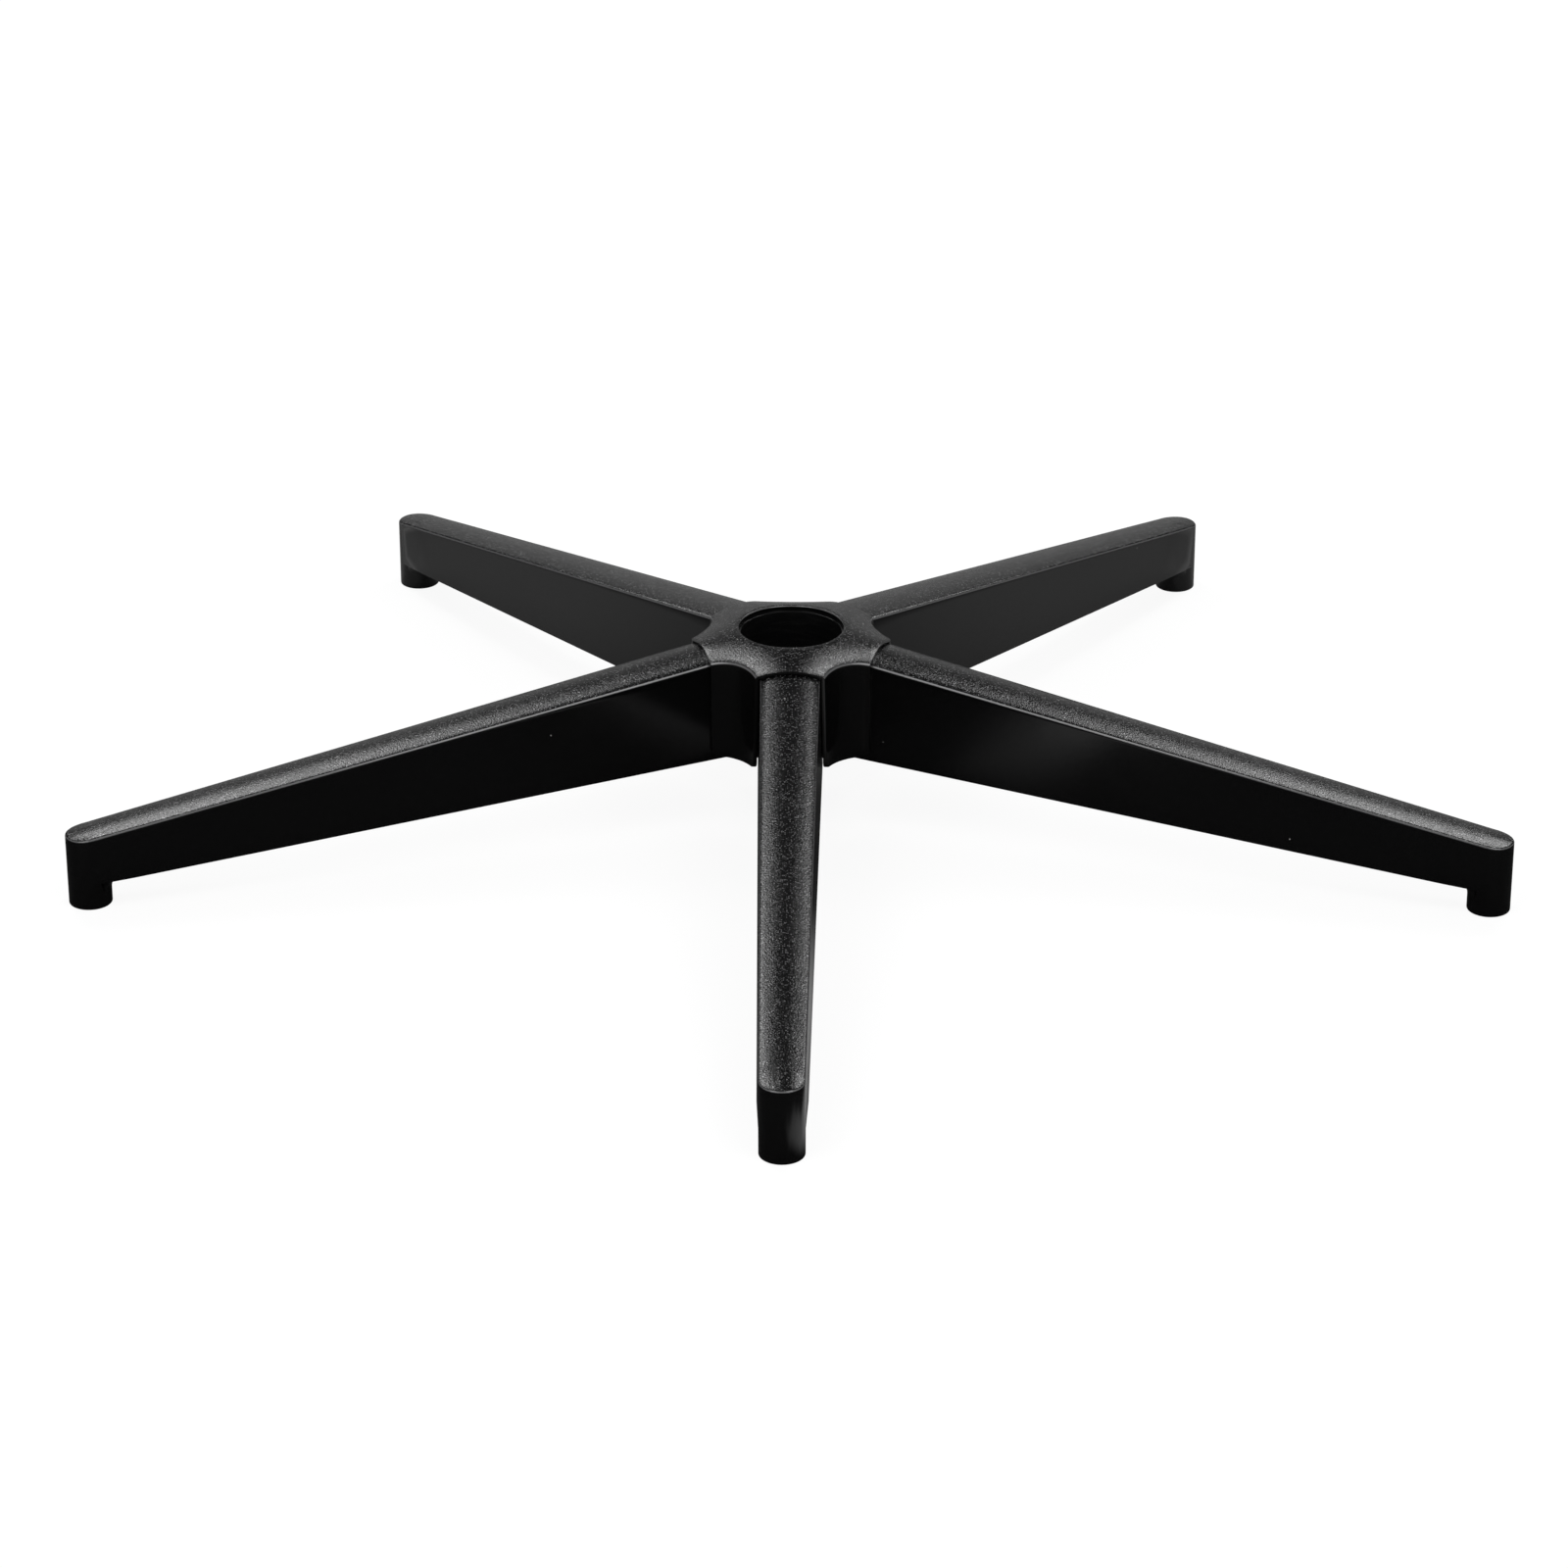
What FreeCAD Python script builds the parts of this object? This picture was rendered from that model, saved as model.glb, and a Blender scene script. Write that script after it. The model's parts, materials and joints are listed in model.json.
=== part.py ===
import FreeCAD, Part

import math
import os

from FreeCAD import Vector

# Office chair five star base: a welded steel star in moulded covers.
# Millimetres. Every height is above the floor and every radius is from the column's axis.
# An arm is drawn along +X and then turned to its place. The origin is at the column socket's rim.

# The star
arm_count = 5
first_arm_deg = -90.0
foot_circle_r = 345.0
hub_top_z = 96.4

# Column socket: a steel tube, bored for a 50 mm gas column with a 1 in 19.92 taper
column_bore_r = 24.3
column_lead_in = 14.0
column_taper = 1 / 19.92
tube_wall = 3.2
tube_below_plate = 4.5
mouth_gap = 0.95
mouth_depth = 3.0
tube_edge_chamfer = 0.6

# Plate under the arm roots
plate_thickness = 2.5
plate_margin = 0.4
plate_rise = 0.1

# Arm cover, outside. A root size is taken at the hub cover's mouth, a tip size at the foot's axis
root_top_z = 89.8
tip_top_z = 37.4
root_low_z = 38.2
tip_low_z = 12.9
root_top_half = 14.2
root_low_half = 15.4
tip_low_half = 10.95
crown_r = 45.0
edge_round = 1.2
cover_root_gap = 3.5
cover_skin = 3.2
cover_wall = 2.2

# Foot boss of the arm cover
foot_r = 10.2
foot_edge_round = 0.6
foot_proud = 0.05
flare_inset = 0.2
blend_back = 20.0
flare_out = 3.8
flare_drop = 6.9
flare_hollow = 0.35

# Steel channel inside the cover
channel_steel = 2.0
channel_root_half = 10.0
channel_tip_half = 7.4
channel_bend_r = 3.0
channel_lip = 3.5
channel_raise = 3.0
channel_end_gap = 1.0

# Bracket welded in the channel's end, with a tongue over the caster socket
bracket_steel = 2.0
tongue_past = 6.5
tongue_gap = 0.15

# Caster socket: a steel cup for an 11 mm stem, and the screw that holds it up
stem_bore_r = 5.55
socket_wall = 1.6
socket_recess = 0.6
socket_roof = 2.5
socket_top_below_skin = 5.3
stem_chamfer = 0.5

screw_r = 2.0
screw_head_r = 3.6
screw_head_h = 2.2
screw_head_gap = 0.4
screw_clear = 0.15

# Ribs and hooks inside the arm cover
rib_first_r = 75.0
rib_pitch = 48.0
rib_count = 5
rib_thickness = 1.6
rib_lift = 4.0
rib_gap = 0.15
hook_length = 9.0
hook_height = 1.8
hook_reach = 1.6
hook_bays = (0, 2, 4)

# Hub cover: a domed shell with five mouths over the arm covers
hub_low_z = 41.4
mouth_face_r = 45.0
stub_half_top = 16.3
stub_half_low = 17.4
hollow_depth = 4.0
lip = 1.5
dome_r = 161.0
valley_depth = 2.2
dome_margin = 7.4
dome_rows = 16
dome_edge_round = 2.0
mouth_edge_round = 0.7
lip_corner_round = 3.0
collar_gap = 0.2
collar_wall = 1.8
hub_rib_thickness = 1.6
hub_rib_depth = 26.0
hub_screw_gap = 1.4
screw_boss_r = 3.6
hub_screw_length = 12.0

# Worked out from the sizes above
arm_step_deg = 360.0 / arm_count
tube_r = column_bore_r + tube_wall
tube_top_z = hub_top_z - mouth_depth
mouth_r = column_bore_r + mouth_gap
plate_top_z = hub_low_z + plate_rise + plate_thickness
tube_low_z = hub_low_z + plate_rise - tube_below_plate
screw_circle_r = tube_r + hub_screw_gap + screw_head_r
plate_r = screw_circle_r + screw_head_r + plate_margin
cover_start_r = tube_r + cover_root_gap
socket_r = stem_bore_r + socket_wall
tip_top_half = foot_r + foot_proud
socket_top_z = tip_top_z - socket_top_below_skin
far = 2 * hub_top_z
near = 0.01


def at(radius, root, tip):
    """A size that runs straight from the hub cover's mouth to the foot's axis."""
    share = (radius - mouth_face_r) / (foot_circle_r - mouth_face_r)
    return root + (tip - root) * share


def top_z(radius):
    return at(radius, root_top_z, tip_top_z)


def ceiling_z(radius):
    return top_z(radius) - cover_skin


def low_z(radius):
    return at(radius, root_low_z, tip_low_z)


def channel_low_z(radius):
    return low_z(radius) + channel_raise


def channel_half(radius):
    return at(radius, channel_root_half, channel_tip_half)


def box(x0, x1, y0, y1, z0, z1):
    return Part.makeBox(x1 - x0, y1 - y0, z1 - z0, Vector(x0, y0, z0))


def post(radius, z0, z1, x=0.0, y=0.0):
    return Part.makeCylinder(radius, z1 - z0, Vector(x, y, z0))


def turned(shape, degrees):
    copy = shape.copy()
    copy.rotate(Vector(0, 0, 0), Vector(0, 0, 1), degrees)
    return copy


def around(shape, start_deg=0.0):
    """Copies of a shape at every arm, or between the arms when start_deg is half a step."""
    return [turned(shape, first_arm_deg + start_deg + arm_step_deg * n) for n in range(arm_count)]


def export(shape, name):
    lowered = shape.copy()
    lowered.translate(Vector(0, 0, -tube_top_z))
    lowered.exportStep("parts/" + name + ".step")


def revolved(points):
    """A solid turned about Z from (radius, height) points, straight between them."""
    ring = [Vector(r, 0, z) for r, z in points]
    face = Part.Face(Part.makePolygon(ring + ring[:1]))
    return face.revolve(Vector(0, 0, 0), Vector(0, 0, 1), 360)


def bar(section_at, start, end):
    """A straight tapered bar between the sections at two radii."""
    return Part.makeLoft([section_at(start), section_at(end)], True, True)


def crown_drop(half):
    """How far the crowned top has dropped at a distance from its middle."""
    return crown_r - math.sqrt(crown_r ** 2 - half ** 2)


def arc_middle(first, corner, last):
    """Middle of the arc that rounds a corner and touches both its sides."""
    middle = (first + last) * 0.5
    share = 1 + (last - first).Length / (2 * (corner - first).Length)
    return corner + (middle - corner) * (1 / share)


def flipped(point):
    return Vector(point.x, -point.y, point.z)


def cover_low_half(radius):
    """The drafted sides draw in to the foot boss over the last stretch."""
    start = foot_circle_r - blend_back
    half = at(min(radius, start), root_low_half, tip_low_half)
    if radius <= start:
        return half
    return half + (tip_top_half - half) * (radius - start) / blend_back


def cover_section(radius):
    """Section of the arm cover's outside: drafted sides, rounded corners and a crowned top."""
    low_half = cover_low_half(radius)
    top_half = at(radius, root_top_half, tip_top_half)
    peak = top_z(radius)
    low_corner = Vector(radius, low_half, low_z(radius))
    corner = Vector(radius, top_half, peak - crown_drop(top_half))
    side = (low_corner - corner).normalize()
    side_end = corner + side * edge_round
    crown_half = top_half - edge_round
    crown_end = Vector(radius, crown_half, peak - crown_drop(crown_half))
    middle = arc_middle(side_end, corner, crown_end)
    return Part.Wire([
        Part.makeLine(flipped(low_corner), low_corner),
        Part.makeLine(low_corner, side_end),
        Part.Arc(side_end, middle, crown_end).toShape(),
        Part.Arc(crown_end, Vector(radius, 0, peak), flipped(crown_end)).toShape(),
        Part.Arc(flipped(crown_end), flipped(middle), flipped(side_end)).toShape(),
        Part.makeLine(flipped(side_end), flipped(low_corner)),
    ])


def cavity_section(radius):
    """Section of the room inside the arm cover, open below."""
    low = low_z(radius)
    ceiling = ceiling_z(radius)
    low_half = at(radius, root_low_half, tip_low_half) - cover_wall
    top_half = at(radius, root_top_half, tip_top_half) - cover_wall
    drop = cover_wall
    spread = (low_half - top_half) * drop / (ceiling - low)
    return Part.makePolygon([
        Vector(radius, -low_half - spread, low - drop),
        Vector(radius, low_half + spread, low - drop),
        Vector(radius, top_half, ceiling),
        Vector(radius, -top_half, ceiling),
        Vector(radius, -low_half - spread, low - drop),
    ])


def channel_outside(radius):
    half = channel_half(radius)
    ceiling = ceiling_z(radius)
    low_corner = Vector(radius, half, channel_low_z(radius))
    corner = Vector(radius, half, ceiling)
    side_end = Vector(radius, half, ceiling - channel_bend_r)
    top_end = Vector(radius, half - channel_bend_r, ceiling)
    middle = arc_middle(side_end, corner, top_end)
    return Part.Wire([
        Part.makeLine(flipped(low_corner), low_corner),
        Part.makeLine(low_corner, side_end),
        Part.Arc(side_end, middle, top_end).toShape(),
        Part.makeLine(top_end, flipped(top_end)),
        Part.Arc(flipped(top_end), flipped(middle), flipped(side_end)).toShape(),
        Part.makeLine(flipped(side_end), flipped(low_corner)),
    ])


def channel_room(radius):
    """The channel's inside, above its turned-in lips."""
    half = channel_half(radius) - channel_steel
    ceiling = ceiling_z(radius) - channel_steel
    low = channel_low_z(radius) + channel_steel
    bend = channel_bend_r - channel_steel
    return Part.makePolygon([
        Vector(radius, -half, low),
        Vector(radius, half, low),
        Vector(radius, half, ceiling - bend),
        Vector(radius, half - bend, ceiling),
        Vector(radius, -half + bend, ceiling),
        Vector(radius, -half, ceiling - bend),
        Vector(radius, -half, low),
    ])


def channel_slot(radius):
    """The open strip between the channel's lips."""
    half = channel_half(radius) - channel_lip
    low = channel_low_z(radius)
    return Part.makePolygon([
        Vector(radius, -half, low - channel_steel),
        Vector(radius, half, low - channel_steel),
        Vector(radius, half, low + 2 * channel_steel),
        Vector(radius, -half, low + 2 * channel_steel),
        Vector(radius, -half, low - channel_steel),
    ])


def bracket_half():
    """The bracket fits between the channel's side walls."""
    return channel_half(channel_end_r()) - channel_steel


def channel_end_r():
    """The channel stops short of the flare that carries the foot boss."""
    return foot_circle_r - foot_r - flare_out - channel_end_gap


# Steel frame

def hub_tube():
    """Column socket: a straight lead-in at the mouth, then the taper that grips the column."""
    lead_in_z = tube_top_z - column_lead_in
    low_r = column_bore_r - (lead_in_z - tube_low_z) * column_taper / 2
    cut = tube_edge_chamfer
    return revolved([
        (column_bore_r, tube_top_z),
        (tube_r - cut, tube_top_z),
        (tube_r, tube_top_z - cut),
        (tube_r, tube_low_z + cut),
        (tube_r - cut, tube_low_z),
        (low_r, tube_low_z),
        (column_bore_r, lead_in_z),
    ])


def hub_plate():
    """Plate welded under the arm roots, with a hole for each of the hub cover's screws."""
    plate = post(plate_r, plate_top_z - plate_thickness, plate_top_z)
    plate = plate.cut(post(tube_r, 0, far))
    holes = around(post(screw_r + screw_clear, 0, far, screw_circle_r), arm_step_deg / 2)
    return plate.cut(holes)


def arm_channel():
    """Tapered steel channel with lips turned in, welded to the tube and the plate."""
    start = tube_r / 2
    end = channel_end_r()
    channel = bar(channel_outside, start, end)
    channel = channel.cut(bar(channel_room, start, end))
    channel = channel.cut(bar(channel_slot, start, end))
    channel = channel.cut(post(tube_r, 0, far))
    return channel.cut(post(plate_r, 0, plate_top_z))


def foot_bracket():
    """Angle welded in the channel's end; its tongue takes the caster socket's screw."""
    end = channel_end_r()
    back = end - bracket_steel
    half = bracket_half()
    roof = ceiling_z(end) - channel_steel
    low = channel_low_z(back) + channel_steel
    bend = channel_bend_r - channel_steel
    plate = box(back, end, -half, half, low, roof)
    corner = box(back, end, half - bend, half, roof - bend, roof)
    plate = plate.cut([corner, corner.mirror(Vector(0, 0, 0), Vector(0, 1, 0))])
    tongue_top = socket_top_z + bracket_steel
    tongue_end = foot_circle_r + tongue_past
    straight_end = tongue_end - half
    tongue = box(end, straight_end, -half, half, socket_top_z, tongue_top)
    tongue = tongue.fuse(post(half, socket_top_z, tongue_top, straight_end))
    bracket = plate.fuse(tongue).removeSplitter()
    return bracket.cut(post(screw_r, 0, far, foot_circle_r))


def caster_socket():
    """Steel cup for a caster's stem, with a screw hole in its roof."""
    cup = post(socket_r, socket_recess, socket_top_z, foot_circle_r)
    seat_z = socket_top_z - socket_roof
    bore = post(stem_bore_r, 0, seat_z - screw_head_h - screw_head_gap, foot_circle_r)
    head_room = post(screw_head_r + screw_head_gap, 0, seat_z, foot_circle_r)
    mouth = Part.makeCone(
        stem_bore_r + 2 * stem_chamfer,
        stem_bore_r - stem_chamfer,
        3 * stem_chamfer,
        Vector(foot_circle_r, 0, socket_recess - stem_chamfer),
    )
    cup = cup.cut([bore, head_room, mouth])
    return cup.cut(post(screw_r + screw_clear, 0, far, foot_circle_r))


def screw(radius, seat_z, length):
    """Pan head screw pointing up, its head under the seat."""
    head = post(screw_head_r, seat_z - screw_head_h, seat_z, radius)
    head = head.makeFillet(screw_head_h / 2, [
        edge for edge in head.Edges
        if edge.BoundBox.ZMax < seat_z - screw_head_h + near
    ])
    shank = post(screw_r, seat_z, seat_z + length, radius)
    return head.fuse(shank)


# Moulded covers

def under_crown():
    """All that lies below the arm's crowned top, run on past the foot."""
    half = 2 * foot_r
    beyond = 2 * foot_r

    def section(radius):
        peak = top_z(radius)
        edge = peak - crown_drop(half)
        left, right = Vector(radius, -half, edge), Vector(radius, half, edge)
        left_low, right_low = Vector(radius, -half, -half), Vector(radius, half, -half)
        return Part.Wire([
            Part.makeLine(left_low, right_low),
            Part.makeLine(right_low, right),
            Part.Arc(right, Vector(radius, 0, peak), left).toShape(),
            Part.makeLine(left, left_low),
        ])

    return bar(section, foot_circle_r - beyond, foot_circle_r + beyond)


def foot_boss():
    """Round foot, rounded at its top edge and at the floor."""
    boss = post(foot_r, 0, tip_top_z + foot_r, foot_circle_r).common(under_crown())
    floor_edges = [e for e in boss.Edges if e.BoundBox.ZMax < near]
    boss = boss.makeFillet(foot_edge_round, floor_edges)
    top_edges = [
        e for e in boss.Edges
        if e.BoundBox.ZMin > tip_low_z and e.BoundBox.DiagonalLength > foot_r / 2
        and abs(math.hypot(e.valueAt(e.FirstParameter).x - foot_circle_r,
                           e.valueAt(e.FirstParameter).y) - foot_r) < near
        and e.BoundBox.ZLength < foot_r
    ]
    return boss.makeFillet(edge_round, top_edges)


def foot_flare():
    """Curved web between the foot boss and the arm's lower edge."""
    high = low_z(foot_circle_r - foot_r - flare_out)
    low = high - flare_drop
    out = foot_r + flare_out
    inner = foot_r / 2
    hollow = Part.Arc(
        Vector(foot_r, 0, low),
        Vector(foot_r + flare_out * flare_hollow, 0, high - flare_drop * flare_hollow),
        Vector(out, 0, high),
    ).toShape()
    face = Part.Face(Part.Wire([
        hollow,
        Part.makeLine(Vector(out, 0, high), Vector(out, 0, high + cover_wall)),
        Part.makeLine(Vector(out, 0, high + cover_wall), Vector(inner, 0, high + cover_wall)),
        Part.makeLine(Vector(inner, 0, high + cover_wall), Vector(inner, 0, low)),
        Part.makeLine(Vector(inner, 0, low), Vector(foot_r, 0, low)),
    ]))
    flare = face.revolve(Vector(0, 0, 0), Vector(0, 0, 1), 360)
    flare.translate(Vector(foot_circle_r, 0, 0))
    half = foot_r - flare_inset
    return flare.common(box(foot_circle_r - 2 * out, foot_circle_r - inner, -half, half, 0, far))


def arm_cover():
    """Moulded arm cover: a drafted shell, open below, with its foot boss, ribs and hooks."""
    blend_start = foot_circle_r - blend_back
    cavity_end = foot_circle_r - foot_r - flare_out
    shell = bar(cover_section, cover_start_r, blend_start)
    shell = shell.fuse(bar(cover_section, blend_start, foot_circle_r))
    cavity = bar(cavity_section, cover_start_r - cover_wall, cavity_end)
    cover = shell.cut(cavity)
    cover = cover.fuse(foot_boss())
    cover = cover.fuse(foot_flare())
    cover = cover.fuse(cover_ribs(cavity))
    cover = cover.fuse(cover_hooks())
    return cover.cut(cover_cuts())


def cover_cuts():
    """Room for the socket, its bracket and the hub plate."""
    end = channel_end_r()
    tongue_top = socket_top_z + bracket_steel + tongue_gap
    straight_end = foot_circle_r + tongue_past - bracket_half()
    half = bracket_half() + tongue_gap
    slot = box(end, straight_end, -half, half, socket_top_z - tongue_gap, tongue_top)
    slot = slot.fuse(post(half, socket_top_z - tongue_gap, tongue_top, straight_end))
    socket = post(socket_r, 0, socket_top_z, foot_circle_r)
    root = post(plate_r + collar_gap, 0, plate_top_z + collar_gap)
    return [slot, socket, root]


def cover_ribs(cavity):
    """Cross ribs that stand against the channel's sides."""
    ribs = []
    for n in range(rib_count):
        x = rib_first_r + n * rib_pitch
        plate = box(x, x + rib_thickness, -far, far, low_z(x) + rib_lift, far)
        rib = plate.common(cavity)
        half = channel_half(x) + rib_gap
        room = box(x - rib_thickness, x + 2 * rib_thickness, -half, half, 0, far)
        ribs.append(rib.cut(room))
    return ribs


def cover_hooks():
    """Hooks on both side walls, under the channel's lower edges."""
    hooks = []
    for bay in hook_bays:
        x = rib_first_r + bay * rib_pitch + rib_pitch / 2 - hook_length / 2
        mid = x + hook_length / 2
        top = channel_low_z(x + hook_length) - rib_gap
        wall = at(mid, root_low_half, tip_low_half) - cover_wall / 2
        inner = channel_half(mid) - hook_reach
        profile = Part.makePolygon([
            Vector(x, wall, top),
            Vector(x, inner, top),
            Vector(x, wall, top - hook_height),
            Vector(x, wall, top),
        ])
        hook = Part.Face(profile).extrude(Vector(hook_length, 0, 0))
        hooks.append(hook)
        hooks.append(hook.mirror(Vector(0, 0, 0), Vector(0, 1, 0)))
    return hooks


def stub_corner(half):
    """A mouth's corner seen from the line between two arms: distance along it, and off it."""
    corner = math.hypot(mouth_face_r, half)
    turn = math.radians(arm_step_deg / 2) - math.atan2(half, mouth_face_r)
    return corner * math.cos(turn), corner * math.sin(turn)


def hollow_inner_r():
    """Where a hollow comes nearest to the column's axis, at the top."""
    return stub_corner(stub_half_top)[0] - hollow_depth


def hollow_posts(outset):
    """Drafted posts that stand in the hollows between the arms, grown by a wall."""
    along, across = stub_corner(stub_half_top)
    top_r = (hollow_depth ** 2 + across ** 2) / (2 * hollow_depth)
    centre_r = hollow_inner_r() + top_r
    along, across = stub_corner(stub_half_low)
    low_r = math.hypot(centre_r - along, across)
    draft = (top_r - low_r) / (hub_top_z - hub_low_z)
    floor_r = low_r - draft * hub_low_z
    cone = Part.makeCone(floor_r + outset, floor_r + draft * far + outset, far, Vector(centre_r, 0, 0))
    return around(cone, arm_step_deg / 2)


def crown_z(x, y):
    """Height of the hub's top: a dome that stays high along the arms and dips between them."""
    r = math.hypot(x, y)
    turn = math.atan2(y, x) - math.radians(first_arm_deg)
    share = r / hollow_inner_r()
    dip = valley_depth / 2 * (share ** 4 - share ** 5 * math.cos(arm_count * turn))
    return hub_top_z - (r ** 2 - mouth_r ** 2) / (2 * dome_r) - dip


def under_dome():
    """All that lies below the hub's top, as one block under a smooth face."""
    reach = star_corner_r() + dome_margin
    places = [reach * (2 * n / dome_rows - 1) for n in range(dome_rows + 1)]
    top = Part.BSplineSurface()
    top.interpolate([[Vector(x, y, crown_z(x, y)) for y in places] for x in places])
    return top.toShape().extrude(Vector(0, 0, -hub_top_z))


def star_corner_r():
    """Where the planes of two neighbouring mouths meet."""
    return mouth_face_r / math.cos(math.radians(arm_step_deg / 2))


def hub_outline():
    """Prism of the star: a flat mouth at each arm, and a round hollow between two arms."""
    corner = Part.Vertex(star_corner_r(), 0, hub_low_z)
    points = [v.Point for v in around(corner, arm_step_deg / 2)]
    star = Part.Face(Part.makePolygon(points + points[:1])).extrude(Vector(0, 0, far))
    return star.cut(hollow_posts(0))


def hub_cover():
    """Moulded hub cover with its mouth ring, collar, ribs and screw bosses."""
    shell = hub_outline().common(under_dome())
    lip_edges = [e for e in shell.Edges if highest(e) < hub_low_z + near and mouth_edge(e)]
    shell = shell.makeFillet(lip_corner_round, lip_edges)
    crown_edges = [e for e in shell.Edges if lowest(e) > plate_top_z and not mouth_edge(e)]
    shell = shell.makeFillet(dome_edge_round, crown_edges)
    shell = shell.cut(post(mouth_r, 0, far))
    rim = [e for e in shell.Edges if lowest(e) > tube_top_z and edge_r(e) < mouth_r + near]
    shell = shell.makeFillet(mouth_edge_round, rim)
    cover = shell.cut(hub_room())
    cover = cover.cut(post(tube_r + collar_gap, 0, tube_top_z))
    pilot = post(screw_r, 0, plate_top_z + hub_screw_length, screw_circle_r)
    return cover.cut(around(pilot, arm_step_deg / 2))


def hub_room():
    """The room under the hub cover's skin, around what the skin carries."""
    room = under_dome()
    room.translate(Vector(0, 0, -lip))
    room = room.cut(hollow_posts(lip))
    collar_r = tube_r + collar_gap + collar_wall
    collar = post(collar_r, ceiling_z(tube_r) + collar_gap, far)
    bosses = around(post(screw_boss_r, plate_top_z, far, screw_circle_r), arm_step_deg / 2)
    half = hub_rib_thickness / 2
    rib = box(collar_r - collar_wall / 2, hollow_inner_r() - lip / 2, -half, half,
              hub_top_z - hub_rib_depth, hub_top_z)
    return room.cut([collar] + bosses + around(rib, arm_step_deg / 2))


def lowest(edge):
    return min(v.Z for v in edge.Vertexes)


def highest(edge):
    return max(v.Z for v in edge.Vertexes)


def edge_r(edge):
    point = edge.valueAt(edge.FirstParameter)
    return math.hypot(point.x, point.y)


def mouth_edge(edge):
    """True for an edge that lies in one of the flat mouths of the star."""
    point = edge.valueAt((edge.FirstParameter + edge.LastParameter) / 2)
    angle = math.degrees(math.atan2(point.y, point.x)) - first_arm_deg
    off_axis = (angle + arm_step_deg / 2) % arm_step_deg - arm_step_deg / 2
    along = math.hypot(point.x, point.y) * math.cos(math.radians(off_axis))
    return abs(along - mouth_face_r) < near


os.makedirs("parts", exist_ok=True)

export(hub_tube(), "hub_tube")
export(hub_plate(), "hub_plate")
export(hub_cover(), "hub_cover")

per_arm = {
    "arm_channel": arm_channel(),
    "foot_bracket": foot_bracket(),
    "caster_socket": caster_socket(),
    "arm_cover": arm_cover(),
}
for name, shape in per_arm.items():
    for number, piece in enumerate(around(shape), start=1):
        export(piece, name + "_" + str(number))

socket_screw = screw(foot_circle_r, socket_top_z - socket_roof, socket_roof + bracket_steel)
export(Part.makeCompound(around(socket_screw)), "socket_screws")
hub_screw = screw(screw_circle_r, plate_top_z - plate_thickness, hub_screw_length)
export(Part.makeCompound(around(hub_screw, arm_step_deg / 2)), "cover_screws")
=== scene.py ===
import json
import math

import bpy
from mathutils import Matrix, Vector


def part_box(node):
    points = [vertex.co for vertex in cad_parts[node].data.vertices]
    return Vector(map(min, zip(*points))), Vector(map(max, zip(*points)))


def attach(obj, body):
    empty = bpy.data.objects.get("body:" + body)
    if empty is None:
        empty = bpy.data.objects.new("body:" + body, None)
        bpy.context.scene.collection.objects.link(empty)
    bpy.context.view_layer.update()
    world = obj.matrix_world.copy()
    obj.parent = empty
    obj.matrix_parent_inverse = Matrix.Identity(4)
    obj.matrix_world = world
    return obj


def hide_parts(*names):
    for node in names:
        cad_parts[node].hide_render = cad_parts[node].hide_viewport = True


# Office chair five star base: moulded black covers over a welded steel star.
# Metres, in the part's own frame. The origin is the centre of the column socket's rim.

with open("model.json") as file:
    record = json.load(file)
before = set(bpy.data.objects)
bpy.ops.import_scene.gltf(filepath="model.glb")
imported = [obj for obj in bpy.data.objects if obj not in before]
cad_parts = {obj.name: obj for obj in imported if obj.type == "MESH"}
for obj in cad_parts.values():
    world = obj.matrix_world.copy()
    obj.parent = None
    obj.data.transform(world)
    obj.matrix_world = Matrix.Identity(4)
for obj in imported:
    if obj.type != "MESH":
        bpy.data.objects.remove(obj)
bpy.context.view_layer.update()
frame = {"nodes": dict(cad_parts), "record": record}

# Places taken from the frame
arm_count = 5
arm_step = math.radians(360 / arm_count)
first_arm = math.radians(-90)
floor_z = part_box("arm_cover_1")[0].z
tube_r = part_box("hub_tube")[1].x
plate_under_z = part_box("hub_plate")[0].z
socket_low, socket_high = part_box("caster_socket_1")
foot_circle_r = -(socket_low.y + socket_high.y) / 2
cover_screw_low, cover_screw_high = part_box("cover_screws")
socket_screw_low, socket_screw_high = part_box("socket_screws")

# Finishes, as plain colours
cover_black = (0.002, 0.002, 0.0021, 1)
# Painted glint grey: the colour of the grain's bright facets and of the painted edge highlight
painted_glint_grey = (0.22, 0.22, 0.223, 1)
coat_black = (0.003, 0.003, 0.0032, 1)
coat_worn = (0.006, 0.006, 0.006, 1)
zinc = (0.60, 0.61, 0.62, 1)
zinc_dull = (0.42, 0.42, 0.41, 1)
dust_pale = (0.55, 0.55, 0.53, 1)
paper_white = (0.8, 0.8, 0.8, 1)

# The grain of the covers' tops: pits, pebbles between them, and a painted glint on a few facets, which
# get a bright grey, partly metal colour
grain_size = 0.00065
grain_depth = 0.0001
pit_softness = 0.35
pit_share = 0.7
pebble_ratio = 0.8
facet_ratio = 0.9
painted_glint_rarity = 5.5
painted_glint_core = 0.3
painted_glint_rim = 0.65
painted_glint_metal = 0.5
grain_rough = 0.17
facet_rough = 0.15

# How far a cover faces up, where its grain starts, and the edge band between wall and top where a
# highlight is painted
grain_from, grain_full = 0.70, 0.82
highlight_band_from, highlight_band_full = 0.25, 0.4
highlight_band_fade, highlight_band_end = 0.65, 0.8
highlight_band_share = 0.6

# The covers' satin walls
satin_size = 0.0035
satin_depth = 0.00006
satin_strength = 0.25
satin_rough_low, satin_rough_high = 0.15, 0.21
cover_mark_size = 0.045

# The steel's coat and the zinc plate
peel_size = 0.0016
peel_depth = 0.00004
peel_strength = 0.35
coat_rough_low, coat_rough_high = 0.12, 0.2
coat_mark_size = 0.02
zinc_grain_size = 0.0004
zinc_grain_depth = 0.00003
zinc_grain_strength = 0.2
zinc_rough_low, zinc_rough_high = 0.28, 0.42
zinc_mark_size = 0.006

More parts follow.
